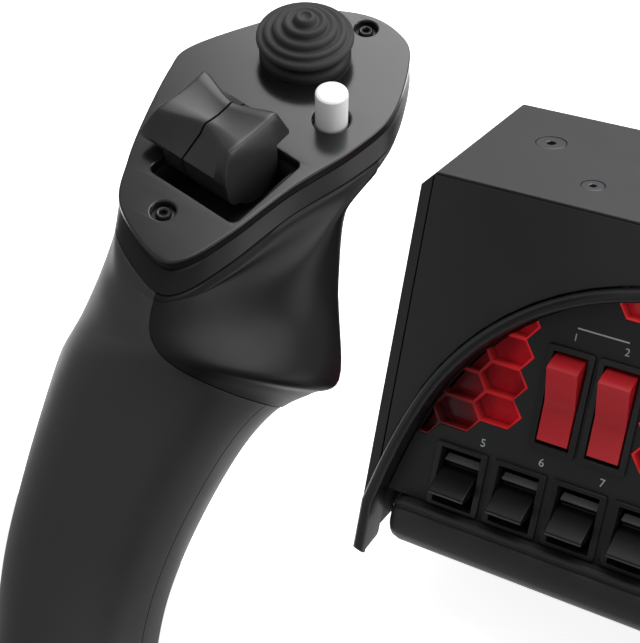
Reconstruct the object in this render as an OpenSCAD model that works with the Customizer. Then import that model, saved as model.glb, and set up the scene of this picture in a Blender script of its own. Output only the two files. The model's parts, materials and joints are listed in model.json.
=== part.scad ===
// Desktop flight yoke: a housing with a switch panel, and a two-horn yoke on a sliding, turning shaft.
// Millimetres. +Z up, -Y towards the pilot, origin at the centre of the rubber mat's underside.

/* [Housing] */
// Width over the side walls
base_w = 228; // [224:1:234]
// Height of the flat top above the desk
base_h = 124; // [122:1:128]
// Depth of the flat top, front to back
top_depth = 54; // [50:1:58]
// Wall thickness of the covers
wall = 3; // [2.5:0.1:3.5]
// Lean of the front face back from vertical, in degrees
face_tilt = 18.3; // [17:0.1:19]
// Chamfer along the long top edges
side_chamfer = 4; // [2:0.5:5]

/* [Arch and panel] */
// Distance from the top edge to the arch's crown, down the face
arch_top = 9; // [8:0.5:10]
// Width of the raised arch band
band_w = 3.5; // [3:0.1:4.5]
// Height of the arch band above the front face
band_rise = 3; // [2:0.5:4]
// Depth of the switch panel below the front face
panel_recess = 4; // [3.5:0.1:4.5]
// Pitch of the paddle switches
paddle_pitch = 17; // [16:0.1:17.5]
// Pitch of the rocker switches
rocker_pitch = 14; // [13.5:0.1:14.5]
// Height of the honeycomb cells, flat to flat
hex_h = 8.4; // [8:0.1:8.8]

/* [Yoke] */
// Height of the shaft axis above the desk
shaft_z = 72; // [71:0.5:73]
// Radius of the steel shaft
shaft_r = 10; // [9:0.5:10]
// Lean of the horns away from the pilot, in degrees from vertical
horn_lean = 37; // [35:1:39]
// Wall thickness of the grip shells
grip_wall = 2.5; // [2:0.1:3]
// Thickness of the plates on top of the horns
plate_t = 2.5; // [2:0.1:3]

/* [Travel] */
// Pull towards the pilot
pull = 30; // [20:1:30]
// Push away from the pilot
push = 12; // [8:1:12]

/* [Hidden] */

$fn = 48;
fit_gap = 0.08;
free_gap = 0.4;

// Side profile of the housing
half_w = base_w / 2;
face_y = -65;
top_back_y = face_y + top_depth;
rear_y = 66;
rear_fall = 30;
rear_top_z = base_h - (rear_y - top_back_y) * tan(rear_fall);
mat_t = 4;
plate_top_z = mat_t + 5;
skirt_z = 23;
frame_top_z = skirt_z + wall;
front_low_y = face_y - (base_h - skirt_z) * tan(face_tilt);
foot_w = base_w - 16;
foot_d = 124;

// Arch outline: crown, shoulder and leg arcs, then a straight foot. Angles run from straight up.
crown_r = 190;
shoulder_r = 76;
leg_r = 160;
crown_end = 17;
shoulder_end = 68;
leg_end = 76;
foot_len = 11;
foot_drop = 15;
crown_c = [0, -arch_top - crown_r];
shoulder_c = crown_c + (crown_r - shoulder_r) * [-sin(crown_end), cos(crown_end)];
leg_c = shoulder_c + (shoulder_r - leg_r) * [-sin(shoulder_end), cos(shoulder_end)];
chin_top = -90.7;
chin_low = -103.5;
chin_w = 2 * (half_w - 8.2);

// Switch rows, as distances down the face from its top edge
rocker_row = -51;
paddle_row = -81;
rocker_x = 51;
first_paddle_x = -89;
ignition_pos = [50, -78.2];
ignition_ring_r = 12;
paddle_xs = [for (i = [0 : 4]) first_paddle_x + i * paddle_pitch];
rocker_xs = [for (side = [-1, 1], i = [1, 0]) side * (rocker_x + i * rocker_pitch)];
rocker_pivot_z = -panel_recess - 3;
paddle_pivot_z = -panel_recess - 11;
rocker_r = 12.3;
rocker_w = 8.5;
rocker_rest = 12;
paddle_r = 7.5;
paddle_w = 10.6;
paddle_rest = 11.5;

// Stretched honeycomb: length of a cell's flat edges, sideways run of its slanted edges, wall between cells
hex_flat = 8;
hex_run = 3.1;
hex_wall = 0.9;
grille_origin = [-82, -50.4];
// Cells of a side grille as [column outwards, row upwards]
side_cells = [[0, 2], [0, 1], [0, 0], [0, -1], [1, 2], [1, 1], [1, 0], [1, -1], [2, -1], [2, -2]];
crown_cell = [48.7, -21];

// Slide and shaft
rod_x = 30;
rod_z = 44;
rod_r = 4;
carriage_y = [-16, 16];
bracket_t = 6;
// Room that a fully closed spring takes
closed_spring = 6;
bracket_front_y = carriage_y[0] - pull - closed_spring - bracket_t;
bracket_rear_y = carriage_y[1] + push + closed_spring;
spring_turns = 5;
spring_sides = 6;
spring_r = 5.6;
wire_r = 0.45;
bush_r = rod_r + 2;
bearing_r = shaft_r + 4;
bearing_len = 8;
collar_y = [-88, -64];
collar_r = 17;
hub_y = -195;
hub_r = 24;
hub_len = 34;
clamp_x = 150;
clamp_y = 80;
clamp_holes = [for (x = [-1, 1], y = [-1, 1]) [x * clamp_x / 2, y * clamp_y / 2]];
usb_pos = [-40, 40];

// Screws on the flat top: x, y and head radius
cover_screw_pos = [
    for (side = [-1, 1]) [side * (half_w - 21.8), face_y + 33, 4.2],
    for (side = [-1, 1]) [side * (half_w - 41.9), face_y + 13.7, 3.1]
];

// Heads and horns. The left horn is modelled, the right one is its mirror image.
head_pos = [-116.5, -120.6, 165.5];
head_tilt = 18.5;
head_turn = 12;
plate_mid = [-1, -14];
plate_outline = [
    [-12, -50.2], [-18.4, -39.5], [-23.4, -27], [-28, -12], [-28.6, -4], [-21.5, 9.5], [-12.5, 21.8],
    [-1, 27.6], [8.6, 26.6], [15, 21], [21.2, 4], [20, -10], [15, -27], [11.7, -44], [8, -55], [2, -57.2]
];
slot_pos = [0, -29.5];
slot_turn = -6;
slot_size = [24, 21.6];
trim_r = 7.4;
trim_pivot = -1.5;
trim_axis = [-5.8, 3.2];
hat_pos = [-5.3, 8.8];
hat_pivot = -2.8;
button_pos = [11, -5.3];
button_r = 3.9;
screw_pos = [[-3.4, -46.6], [1.6, 23.5]];
ptt_pos = [-121, 12];
ptt_r = 7;
rudder_r = 5.8;
rudder_w = 8;
trim_w = 11.7;
trim_drums = [5.4, 12];

// Horn stations from the plate down to the hub, in the leaning plane of the horn:
// [x, distance down, forward offset, half width, half depth, heading, slant of the section]
grip_stations = [
    [-118.2, 22, 0, 22.8, 22.5, 0, 1.02],
    [-116.5, 35, 0, 24.7, 23.5, 0, 0.61],
    [-113.4, 49.5, 0, 29.2, 24.3, 0, 0.17],
    [-116.2, 54, 0, 27, 24.6, 2, 0.08],
    [-119.9, 59.5, 0, 23.8, 24.5, 3, 0],
    [-122.5, 70, 0, 21.1, 23.5, 3, 0],
    [-124.2, 88, 0, 18.3, 22.5, 0, 0],
    [-123.9, 105, 0, 16.9, 21, 4, 0],
    [-120.3, 121, 0, 15.8, 20, 22, 0],
    [-116.3, 130, 0, 15.8, 19, 32, 0]
];
arm_stations = [
    [-116.3, 130.4, 0, 15.8, 19, 32, 0],
    [-103, 143.5, 0, 17, 18, 54, 0],
    [-85, 150, -1, 16.5, 17.5, 82, 0],
    [-62, 148, -2, 16, 17, 104, 0],
    [-36, 135, -4, 15.5, 16.5, 123, 0],
    [-6, 112, -5, 15, 16, 130, 0]
];
ring_steps = 2;

head_mat = [
    [cos(head_turn), sin(head_tilt) * sin(head_turn), cos(head_tilt) * sin(head_turn)],
    [0, cos(head_tilt), -sin(head_tilt)],
    [-sin(head_turn), sin(head_tilt) * cos(head_turn), cos(head_tilt) * cos(head_turn)]
];
horn_origin = head_pos + head_mat * [plate_mid.x, plate_mid.y, 0];

black = [0.11, 0.11, 0.12];
soft_black = [0.17, 0.17, 0.18];
panel_black = [0.13, 0.14, 0.14];
switch_red = [0.78, 0.11, 0.16];
steel = [0.62, 0.63, 0.65];

// ---------- frames of reference ----------

// Front face: x across, y up the slope, z outwards, origin on the top front edge
module on_face() translate([0, face_y, base_h]) rotate([90 - face_tilt, 0, 0]) children();

// Top of a horn: z out of the plate
module on_head() translate(head_pos) rotate([head_tilt, head_turn, 0]) children();

// Leaning plane of a horn: y up the horn, z towards the pilot
module on_horn() translate([0, horn_origin.y, horn_origin.z]) rotate([90 - horn_lean, 0, 0]) children();

module right_side() mirror([1, 0, 0]) children();

module along_x(r, len, center = true) rotate([0, 90, 0]) cylinder(r = r, h = len, center = center);
module along_y(r, y0, y1) translate([0, y1, 0]) rotate([90, 0, 0]) cylinder(r = r, h = y1 - y0);

// ---------- curves ----------

function on_arc(c, r, a) = c + r * [-sin(a), cos(a)];
function half_arch(inset) = concat(
    [for (a = [0.5, 4, 8.5, 13, 17]) on_arc(crown_c, crown_r - inset, a)],
    [for (a = [crown_end + 6 : 6 : shoulder_end]) on_arc(shoulder_c, shoulder_r - inset, a)],
    [for (a = [shoulder_end + 4 : 4 : leg_end]) on_arc(leg_c, leg_r - inset, a)],
    let (knee = on_arc(leg_c, leg_r - inset, leg_end) - foot_len * [cos(leg_end), sin(leg_end)])
    [knee, knee - [0, foot_drop]]
);
function mirrored(pts) = [for (i = [len(pts) - 1 : -1 : 0]) [-pts[i].x, pts[i].y]];
function arch_outline(inset) = concat(mirrored(half_arch(inset)), half_arch(inset));

function spline(a, b, c, d, t) =
    0.5 * (2 * b + (c - a) * t + (2 * a - 5 * b + 4 * c - d) * t * t + (3 * b - a - 3 * c + d) * t * t * t);
function closed_spline(pts, steps) = let (n = len(pts)) [
    for (i = [0 : n - 1], k = [0 : steps - 1])
        spline(pts[(i + n - 1) % n], pts[i], pts[(i + 1) % n], pts[(i + 2) % n], k / steps)
];
function open_spline(pts, steps) = let (n = len(pts)) concat([
    for (i = [0 : n - 2], k = [0 : steps - 1])
        spline(pts[max(i - 1, 0)], pts[i], pts[i + 1], pts[min(i + 2, n - 1)], k / steps)
], [pts[n - 1]]);

module round_rect(size, r) {
    inner = size / 2 - [r, r];
    polygon([for (q = [0 : 3], a = [0 : 15 : 90]) let (t = q * 90 + a)
        [(q == 0 || q == 3 ? 1 : -1) * inner.x + r * cos(t), (q < 2 ? 1 : -1) * inner.y + r * sin(t)]]);
}

// ---------- horn loft ----------

outline_points = closed_spline(plate_outline, 2);
rim = [for (i = [len(outline_points) - 1 : -1 : 0]) outline_points[i]];
rim_angles = [for (p = rim) atan2(-(p.y - plate_mid.y) / 42, (p.x - plate_mid.x) / 25)];

function horn_point(x, down, out) = [
    x,
    horn_origin.y - down * sin(horn_lean) - out * cos(horn_lean),
    horn_origin.z - down * cos(horn_lean) + out * sin(horn_lean)
];
function station_ring(s, w) = [for (a = rim_angles)
    let (across = (s[3] - w) * cos(a), out = (s[4] - w) * sin(a))
    horn_point(s[0] + across * cos(s[5]), s[1] - across * sin(s[5]) + s[6] * out, s[2] + out)];
function rim_ring(w, h) = [for (p = rim)
    let (v = p - plate_mid, q = plate_mid + v * (1 - w / norm(v)))
    head_pos + head_mat * [q.x, q.y, h]];
function moved(ring, d) = [for (p = ring) p + d];
function loft_rings(keys) = let (n = len(keys[0])) [
    for (k = [0 : ring_steps * (len(keys) - 1)])
        let (i = min(floor(k / ring_steps), len(keys) - 2), t = k / ring_steps - i)
        [for (j = [0 : n - 1]) spline(
            keys[max(i - 1, 0)][j], keys[i][j], keys[i + 1][j], keys[min(i + 2, len(keys) - 1)][j], t)]
];

module loft(rings) {
    n = len(rings[0]);
    m = len(rings);
    polyhedron(
        points = [for (r = rings, p = r) p],
        faces = concat(
            [[for (j = [n - 1 : -1 : 0]) j]],
            [for (i = [0 : m - 2], j = [0 : n - 1]) let (k = (j + 1) % n)
                [i * n + j, i * n + k, (i + 1) * n + k]],
            [for (i = [0 : m - 2], j = [0 : n - 1]) let (k = (j + 1) % n)
                [i * n + j, (i + 1) * n + k, (i + 1) * n + j]],
            [[for (j = [0 : n - 1]) (m - 1) * n + j]]
        )
    );
}

horn_down = [0, -sin(horn_lean), -cos(horn_lean)];
module grip_form(w, rise, extra) {
    last = grip_stations[len(grip_stations) - 1];
    end = [
        last[0] + extra * sin(last[5]), last[1] + extra * cos(last[5]), last[2], last[3], last[4], last[5], 0
    ];
    top = rim_ring(w, rise - plate_t);
    loft(loft_rings(concat(
        [top, moved(rim_ring(w, -plate_t), 7 * horn_down + [1.5, 0, 0])],
        [for (s = grip_stations) station_ring(s, w)],
        extra > 0 ? [station_ring(end, w)] : []
    )));
}
module grip_shell() difference() {
    grip_form(0, 0, 0);
    grip_form(grip_wall, 1, 4);
}

// Volume of the glossy side cover under the head: everything inboard of its seam
module side_cover_zone() on_horn() translate([0, 0, -12])
    linear_extrude(80) polygon([
        [-117, 60], [-115.7, -33], [-116.3, -40], [-115.6, -46], [-113.5, -50.8], [-110, -53.8],
        [-106, -55.6], [-100.5, -56.4], [-95.5, -55.2], [-91, -52.2], [-86, -49], [-58, -47], [-58, 60]
    ]);
module horn_half(z0) on_horn() translate([-200, -170, z0]) cube([180, 300, 80]);

module grip_front() intersection() {
    difference() {
        grip_shell();
        side_cover_zone();
    }
    horn_half(0);
}
module grip_rear() difference() {
    grip_shell();
    side_cover_zone();
    horn_half(0);
}
module side_cover() intersection() {
    grip_shell();
    side_cover_zone();
}
module arm_form(w, extra) {
    first = arm_stations[0];
    start = [
        first[0] - extra * sin(first[5]), first[1] - extra * cos(first[5]), 0, first[3], first[4], first[5], 0
    ];
    loft(loft_rings(concat(
        extra > 0 ? [station_ring(start, w)] : [],
        [for (s = arm_stations) station_ring(s, w)]
    )));
}
module arm() difference() {
    arm_form(0, 0);
    arm_form(grip_wall + 0.5, 4);
    translate([0, 0, shaft_z]) along_y(hub_r + 0.05, hub_y - 50, hub_y + 50);
}

// ---------- housing ----------

function housing_profile(inset, front, low) = [
    [face_y - front, base_h - inset],
    [top_back_y - inset * tan(rear_fall / 2), base_h - inset],
    [rear_y + front, rear_top_z - inset / cos(rear_fall) - front * tan(rear_fall)],
    [rear_y + front, low],
    [front_low_y - front, low]
];
module profile_prism(pts, w) translate([-w / 2, 0, 0])
    rotate([90, 0, 90]) linear_extrude(w) polygon(pts);

module main_cover() color(soft_black) difference() {
    intersection() {
        profile_prism(housing_profile(0, 0, skirt_z), base_w);
        rotate([90, 0, 0]) linear_extrude(400, center = true) polygon([
            [-half_w, 0], [half_w, 0], [half_w, base_h - side_chamfer], [half_w - side_chamfer, base_h],
            [side_chamfer - half_w, base_h], [-half_w, base_h - side_chamfer]
        ]);
    }
    profile_prism(housing_profile(wall, 5, skirt_z - 1), base_w - 2 * wall);
    on_face() translate([wall - half_w, chin_top, -wall - 0.1])
        cube([base_w - 2 * wall, -chin_top - 0.6, 2 * wall]);
    on_face() face_plate(-panel_recess - 2.1, band_rise) arch_band(0.1);
    for (p = cover_screw_pos) translate([p.x, p.y, base_h - 2]) {
        cylinder(r = p.z + 0.1, h = 3);
        translate([0, 0, -3]) cylinder(r = 1.6, h = 4);
    }
}
module cover_screws() color(black) for (p = cover_screw_pos) translate([p.x, p.y, base_h - 2]) difference() {
    union() {
        cylinder(r = p.z, h = 1.9);
        translate([0, 0, -6]) cylinder(r = 1.5, h = 6.5);
    }
    translate([0, 0, 0.6]) cylinder(r = p.z * 0.33, h = 3, $fn = 6);
}

module rear_panel() color(soft_black) difference() {
    low = frame_top_z + 0.2;
    translate([0.3 - half_w + wall, rear_y - wall, low])
        cube([base_w - 2 * wall - 0.6, wall, rear_top_z - 4.2 - low]);
    translate([usb_pos.x - 6.2, rear_y - wall - 1, usb_pos.y - 5.7]) cube([12.4, wall + 2, 11.4]);
    for (x = [20 : 5 : 70]) translate([x, rear_y, 50]) cube([2, 4 * wall, 18], center = true);
}

module face_plate(z0, z1) translate([0, 0, z0]) linear_extrude(z1 - z0) children();

module front_fascia() color(soft_black) on_face() face_plate(-wall, 0) difference() {
    translate([0.3 - half_w + wall, chin_top + 0.3]) square([base_w - 2 * wall - 0.6, -0.6 - chin_top - 0.4]);
    polygon(arch_outline(-0.5));
}
module arch_band(gap) difference() {
    polygon(arch_outline(-gap));
    polygon(concat([[half_w, -150]], arch_outline(band_w + gap), [[-half_w, -150]]));
}
// The feet of the band are cut back at a slant
module arch_bezel() color(black) on_face() difference() {
    face_plate(-panel_recess - 2, band_rise) arch_band(0);
    rotate([90, 0, 90]) linear_extrude(2 * base_w, center = true)
        polygon([[-130, 4], [-109, 4], [-104, -7], [-130, -7]]);
}
module chin_bar() color(black) on_face() translate([0, 0, -2]) hull() {
    for (x = [-chin_w / 2 + 4, chin_w / 2 - 4]) translate([x, chin_low + 4.2, -1.6]) sphere(r = 4, $fn = 24);
    translate([0, chin_top - 1, 1]) cube([chin_w, 2, 2], center = true);
    translate([0, (chin_top + chin_low) / 2, -10]) cube([chin_w, chin_top - chin_low - 2, 1], center = true);
}

module panel_region() intersection() {
    polygon(arch_outline(band_w + 0.3));
    translate([-half_w, chin_top + 0.3]) square([base_w, -chin_top]);
}
module hex_cell(grow, flat = hex_flat) polygon([for (side = [-1, 1]) each [
    [-side * flat / 2, side * (hex_h / 2 + grow)],
    [side * flat / 2, side * (hex_h / 2 + grow)],
    [side * (flat / 2 + hex_run + 1.2 * grow), 0]
]]);
module side_field(grow) for (c = side_cells)
    translate(grille_origin + [-c.x * (hex_flat + hex_run), (c.y - (c.x % 2) / 2) * hex_h]) hex_cell(grow);
module side_region(gap) intersection() {
    polygon(arch_outline(band_w + 0.4 + gap));
    side_field(0.3 - gap);
}
// The centre grille runs under the crown of the arch and down around the shaft collar
module centre_field(grow) for (j = [-4 : 4], k = [0 : abs(j) == 4 ? 0 : 4])
    translate([j * crown_cell.x / 4, crown_cell.y - (k + abs(j % 2) / 2) * hex_h])
        hex_cell(grow, crown_cell.x / 4 - hex_run);
module centre_region(gap) intersection() {
    polygon(arch_outline(band_w + 0.4 + gap));
    centre_field(0.3 - gap);
}

module switch_panel() color(panel_black) difference() {
    on_face() face_plate(-panel_recess - 2, -panel_recess) difference() {
        panel_region();
        for (side = [0, 1]) mirror([side, 0]) side_region(0);
        centre_region(0);
        for (x = rocker_xs) translate([x, rocker_row])
            square([rocker_w + 1, 2 * rocker_r + 0.9], center = true);
        for (x = paddle_xs) translate([x, paddle_row])
            square([paddle_w + 1, 2 * paddle_r + 0.9], center = true);
        translate(ignition_pos) circle(r = 3.4);
    }
    translate([0, 0, shaft_z]) along_y(collar_r + 0.1, -120, -40);
}
module switch_bezels() color(panel_black) on_face() face_plate(-panel_recess, 1 - panel_recess) {
    for (x = rocker_xs) translate([x, rocker_row]) difference() {
        round_rect([rocker_pitch - 0.8, 2 * rocker_r + 4.4], 1);
        square([rocker_w + 1, 2 * rocker_r + 0.9], center = true);
    }
    for (x = paddle_xs) translate([x, paddle_row]) difference() {
        round_rect([paddle_pitch - 1.6, 2 * paddle_r + 3.6], 1);
        square([paddle_w + 1, 2 * paddle_r + 0.9], center = true);
    }
    translate(ignition_pos) difference() {
        circle(r = ignition_ring_r);
        circle(r = ignition_ring_r - 2.5);
    }
}

module grille_slab() on_face() face_plate(-panel_recess - 4, -panel_recess) children();
module side_grilles() color("darkred") for (side = [0, 1]) mirror([side, 0, 0]) grille_slab() difference() {
    side_region(0.2);
    side_field(-hex_wall / 2);
}
module centre_grille() color("darkred") difference() {
    grille_slab() difference() {
        centre_region(0.2);
        centre_field(-hex_wall / 2);
    }
    translate([0, 0, shaft_z]) along_y(collar_r + 0.1, -120, -40);
}
module light_diffusers() color("red") difference() {
    on_face() face_plate(-panel_recess - 6, -panel_recess - 4.2) {
        for (side = [0, 1]) mirror([side, 0]) side_region(0.2);
        centre_region(0.2);
    }
    translate([0, 0, shaft_z]) along_y(collar_r + 0.1, -120, -40);
}

module switch_bodies() color(black) on_face() {
    for (x = rocker_xs) translate([x, rocker_row, rocker_pivot_z]) difference() {
        translate([-rocker_w / 2 - 1.5, -14.2, -13.5]) cube([rocker_w + 3, 28.4, 14.4]);
        along_x(rocker_r + free_gap, rocker_w + 0.9);
    }
    for (x = paddle_xs) translate([x, paddle_row, paddle_pivot_z]) difference() {
        translate([-paddle_w / 2 - 2, -9.4, -9.5]) cube([paddle_w + 4, 18.8, 18.4]);
        along_x(paddle_r + free_gap, paddle_w + 0.9);
        translate([-paddle_w / 2 - 0.45, -paddle_r - free_gap, 0])
            cube([paddle_w + 0.9, 2 * (paddle_r + free_gap), 20]);
    }
    translate([ignition_pos.x, ignition_pos.y, -panel_recess - 16]) difference() {
        cylinder(r = 8, h = 13.9);
        translate([0, 0, 1.9]) cylinder(r = 3 + fit_gap, h = 20);
    }
}

module rocker(x) color(x < 0 ? switch_red : black) on_face() translate([x, rocker_row, rocker_pivot_z])
    rotate([rocker_rest, 0, 0]) intersection() {
        along_x(rocker_r, rocker_w);
        rotate([90, 0, 90]) linear_extrude(rocker_w, center = true) polygon([
            [-14, -3.5], [14, -3.5], [14, 6.9], [10.6, 6.2], [0, 4.2], [-10.6, 6.2], [-14, 6.9]
        ]);
    }
module alternator_rocker() rocker(rocker_xs[0]);
module battery_rocker() rocker(rocker_xs[1]);
module avionics_rocker_a() rocker(rocker_xs[3]);
module avionics_rocker_b() rocker(rocker_xs[2]);

// Paddle: a drum in the switch body, with a stepped lever that points down at rest
module paddle(i) color(black) on_face() translate([paddle_xs[i], paddle_row, paddle_pivot_z])
    rotate([paddle_rest, 0, 0]) {
        along_x(paddle_r, paddle_w);
        rotate([90, 0, 90]) linear_extrude(paddle_w, center = true) polygon([
            [-5, 4], [6.2, 4], [6.5, 6], [5.8, 8.9], [4.9, 7.6], [3.8, 7.6],
            [3.5, 11.5], [0.4, 18.1], [-0.9, 17.5], [-1.2, 9.4], [-5, 6.6]
        ]);
    }
module beacon_paddle() paddle(0);
module landing_paddle() paddle(1);
module taxi_paddle() paddle(2);
module nav_paddle() paddle(3);
module strobe_paddle() paddle(4);

module ignition_knob() color(black) on_face() translate([ignition_pos.x, ignition_pos.y, -panel_recess]) {
    translate([0, 0, 0.6]) cylinder(r = 9.2, h = 5);
    translate([-2.2, -8, 5]) cube([4.4, 16, 6]);
    translate([0, 0, -13]) cylinder(r = 3, h = 14);
}

// ---------- base ----------

module rubber_mat() color(black) difference() {
    linear_extrude(mat_t) round_rect([foot_w - 2, foot_d - 2], 8);
    for (p = clamp_holes) translate([p.x, p.y, -1]) cylinder(r = 6, h = mat_t + 2);
}
module base_plate() color(steel) difference() {
    translate([0, 0, mat_t]) linear_extrude(plate_top_z - mat_t) round_rect([foot_w, foot_d], 6);
    for (p = clamp_holes) translate([p.x, p.y, 0]) cylinder(r = 3, h = 20);
}
module base_frame() color(black) {
    translate([0, 0, plate_top_z]) linear_extrude(skirt_z - plate_top_z) difference() {
        round_rect([foot_w, foot_d], 6);
        square([foot_w - 2 * wall, foot_d - 2 * wall], center = true);
    }
    difference() {
        translate([0.3 - half_w + wall, front_low_y + 14.5, skirt_z])
            cube([base_w - 2 * wall - 0.6, rear_y - 0.3 - front_low_y - 14.5, wall]);
        translate([wall - foot_w / 2, wall - foot_d / 2, skirt_z - 1])
            cube([foot_w - 2 * wall, foot_d - 2 * wall, wall + 2]);
    }
}
module rod_brackets() color(steel) for (y = [bracket_front_y, bracket_rear_y]) difference() {
    translate([-40, y, plate_top_z]) cube([80, bracket_t, rod_z + 10 - plate_top_z]);
    for (x = [-rod_x, rod_x]) translate([x, 0, rod_z]) along_y(rod_r + 0.02, y - 1, y + bracket_t + 1);
    translate([-20, y - 1, plate_top_z + 12]) cube([40, bracket_t + 2, 60]);
}
module guide_rods() color("silver") for (x = [-rod_x, rod_x])
    translate([x, 0, rod_z]) along_y(rod_r, bracket_front_y, bracket_rear_y + bracket_t);

// Compression springs on the rods, each side of the carriage
module coil(len) {
    steps = spring_turns * 10;
    loft([for (i = [0 : steps]) let (a = i * 36, y = wire_r + (len - 2 * wire_r) * i / steps)
        [for (j = [0 : spring_sides - 1]) let (b = -j * 360 / spring_sides, q = spring_r + wire_r * cos(b))
            [q * cos(a), y + wire_r * sin(b), q * sin(a)]]]);
}
module pitch_springs() color("silver") for (x = [-rod_x, rod_x]) translate([x, 0, rod_z]) {
    front = bracket_front_y + bracket_t;
    translate([0, front + 0.2, 0]) coil(carriage_y[0] - front - 0.4);
    translate([0, carriage_y[1] + 0.2, 0]) coil(bracket_rear_y - carriage_y[1] - 0.4);
}
module main_board() color("darkgreen") {
    translate([-60, -46, 14]) cube([120, 76, 1.6]);
    translate([-20, -20, 15.6]) cube([14, 14, 1.4]);
    translate([22, -30, 15.6]) cube([8, 30, 6]);
    for (x = [-56, 56], y = [-42, 26]) translate([x, y, plate_top_z]) cylinder(r = 2.5, h = 14 - plate_top_z);
}
module usb_socket() color("silver") translate([usb_pos.x, rear_y - 18, usb_pos.y]) difference() {
    translate([-6, 0, -5.5]) cube([12, 18, 11]);
    translate([-4.3, 8, -4.1]) cube([8.6, 12, 4.7]);
    translate([-4.3, 8, 3.4]) cube([8.6, 12, 0.6]);
}
module shaft_collar() color(black) translate([0, 0, shaft_z]) difference() {
    union() {
        along_y(collar_r, collar_y[0], collar_y[1]);
        along_y(collar_r + 2, collar_y[0] - 2, collar_y[0] + 2);
    }
    along_y(shaft_r + fit_gap, collar_y[0] - 5, collar_y[1] + 5);
}

// ---------- carriage ----------

module carriage() color("dimgray") difference() {
    translate([0, carriage_y[0], 0]) union() {
        translate([-40, 0, rod_z - 9]) cube([80, carriage_y[1] - carriage_y[0], 18]);
        translate([-18, 0, rod_z]) cube([36, carriage_y[1] - carriage_y[0], shaft_z - rod_z + 15]);
    }
    for (x = [-rod_x, rod_x]) translate([x, 0, rod_z]) along_y(bush_r, -60, 60);
    translate([0, 0, shaft_z]) {
        along_y(shaft_r + 0.5, -60, 60);
        along_y(bearing_r, carriage_y[0] - 1, carriage_y[0] + bearing_len);
        along_y(bearing_r, carriage_y[1] - bearing_len, carriage_y[1] + 1);
    }
}
module rod_bushes() color("goldenrod") for (x = [-rod_x, rod_x]) translate([x, 0, rod_z]) difference() {
    along_y(bush_r - 0.02, carriage_y[0], carriage_y[1]);
    along_y(rod_r + 0.05, -60, 60);
}
module roll_bearings() color("silver") translate([0, 0, shaft_z])
    for (y = [carriage_y[0], carriage_y[1] - bearing_len]) difference() {
        along_y(bearing_r - 0.02, y, y + bearing_len);
        along_y(shaft_r + 0.05, y - 1, y + bearing_len + 1);
    }

// ---------- yoke ----------

module yoke_shaft() color(steel) translate([0, 0, shaft_z]) difference() {
    union() {
        along_y(shaft_r, hub_y - 6, carriage_y[1] + 3);
        along_y(shaft_r + 1.5, carriage_y[1] + 0.3, carriage_y[1] + 2.3);
        along_y(shaft_r + 1.5, carriage_y[0] - 2.3, carriage_y[0] - 0.3);
    }
    along_y(shaft_r - 2.5, hub_y - 20, 60);
}
module yoke_hub() color(soft_black) translate([0, 0, shaft_z]) difference() {
    along_y(hub_r, hub_y - hub_len / 2, hub_y + hub_len / 2);
    along_y(shaft_r + 0.02, hub_y - 6, 60);
    along_y(hub_r - 4, hub_y - hub_len, hub_y - 12);
    for (a = [45 : 90 : 315]) rotate([0, a, 0])
        translate([hub_r - 6, 0, 0]) along_y(1.5, hub_y - 20, hub_y - 4);
}
module hub_cover() color(black) translate([0, 0, shaft_z]) difference() {
    union() {
        along_y(hub_r - 4.2, hub_y - 17, hub_y - 12);
        along_y(hub_r - 1, hub_y - hub_len / 2 - 3, hub_y - hub_len / 2);
    }
    for (a = [45 : 90 : 315]) rotate([0, a, 0]) translate([hub_r - 6, 0, 0]) {
        along_y(1.6, hub_y - 30, hub_y);
        along_y(3, hub_y - 30, hub_y - 18.5);
    }
}
module yoke_arms() color(soft_black) {
    arm();
    right_side() arm();
}
module left_grip_front() color(soft_black) grip_front();
module left_grip_rear() color(soft_black) difference() {
    grip_rear();
    on_horn() translate([ptt_pos.x, -ptt_pos.y, -50]) cylinder(r = ptt_r + 2.2, h = 40);
}
module left_side_cover() color(black) side_cover();
module right_grip_front() color(soft_black) right_side() grip_front();
module right_grip_rear() color(soft_black) right_side() grip_rear();
module right_side_cover() color(black) right_side() side_cover();

module head_blank() difference() {
    translate([0, 0, -plate_t]) linear_extrude(plate_t) polygon(closed_spline(plate_outline, 4));
    translate([slot_pos.x, slot_pos.y, -plate_t - 1]) rotate(slot_turn)
        linear_extrude(plate_t + 2) round_rect(slot_size, 1);
    translate([button_pos.x, button_pos.y, -plate_t - 1]) cylinder(r = button_r + fit_gap, h = plate_t + 2);
    for (p = screw_pos) translate([p.x, p.y, 0]) {
        translate([0, 0, -1.2]) cylinder(r = 2.6, h = 2);
        translate([0, 0, -plate_t - 1]) cylinder(r = 1.3, h = plate_t + 2);
    }
}
module left_head_plate() color(black) on_head() difference() {
    head_blank();
    translate([hat_pos.x, hat_pos.y, -plate_t - 1]) cylinder(r = 6.35, h = plate_t + 2);
}
module right_head_plate() color(black) right_side() on_head() difference() {
    head_blank();
    translate([hat_pos.x, hat_pos.y, 0]) cube([2 * rudder_r + 1, rudder_w + 1, 4 * plate_t], center = true);
}
module head_screws() on_head() for (p = screw_pos) translate([p.x, p.y, 0]) difference() {
    union() {
        translate([0, 0, -1.2]) cylinder(r = 2.5, h = 1);
        translate([0, 0, -plate_t - 4]) cylinder(r = 1.25, h = 6);
    }
    translate([0, 0, -0.9]) cylinder(r = 1.3, h = 2, $fn = 6);
}
module plate_screws() color(steel) {
    head_screws();
    right_side() head_screws();
}
module left_ptt_bezel() color(black) on_horn() translate([ptt_pos.x, -ptt_pos.y, -28]) difference() {
    cylinder(r = ptt_r + 2, h = 8);
    translate([0, 0, -1]) cylinder(r = ptt_r + fit_gap, h = 10);
}
module left_ptt_button() color(black) on_horn()
    translate([ptt_pos.x, -ptt_pos.y, -31]) cylinder(r = ptt_r, h = 14);

// ---------- head controls ----------

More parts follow.
